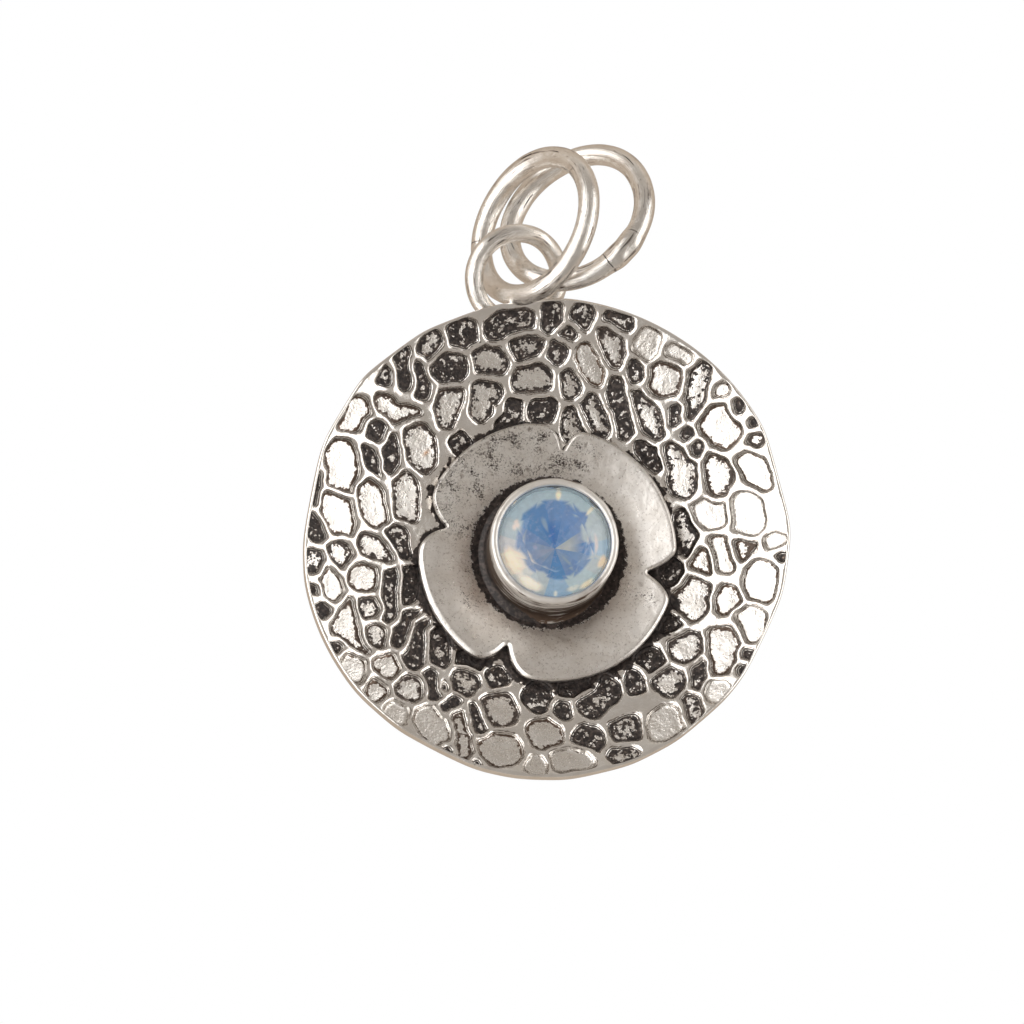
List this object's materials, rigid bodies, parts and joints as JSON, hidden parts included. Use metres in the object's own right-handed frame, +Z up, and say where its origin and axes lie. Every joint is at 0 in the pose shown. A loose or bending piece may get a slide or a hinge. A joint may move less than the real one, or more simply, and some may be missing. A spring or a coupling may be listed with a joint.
{
  "type": "opal pendant",
  "caption": "Round dished silver pendant with a pebbled relief, a petalled flower, a bezel-set faceted opal and loose jump rings for a chain, lying on its back.",
  "frame": {"origin": "middle of the bounding box in plan, on the surface that the pendant lies on", "axes": "+Z up out of the plate's face, +Y from the plate toward the loop and the jump rings, +X to the right"},
  "size_m": [0.025, 0.0334, 0.007],
  "materials": {
    "oxidised_silver": "polished ridges over dark patina",
    "polished_silver": "polished",
    "opal": "faceted, milky"
  },
  "bodies": {
    "root": {"silverwork": "oxidised_silver", "opal": "opal", "ring_front": "polished_silver", "ring_rear": "polished_silver"}
  },
  "joints": []
}
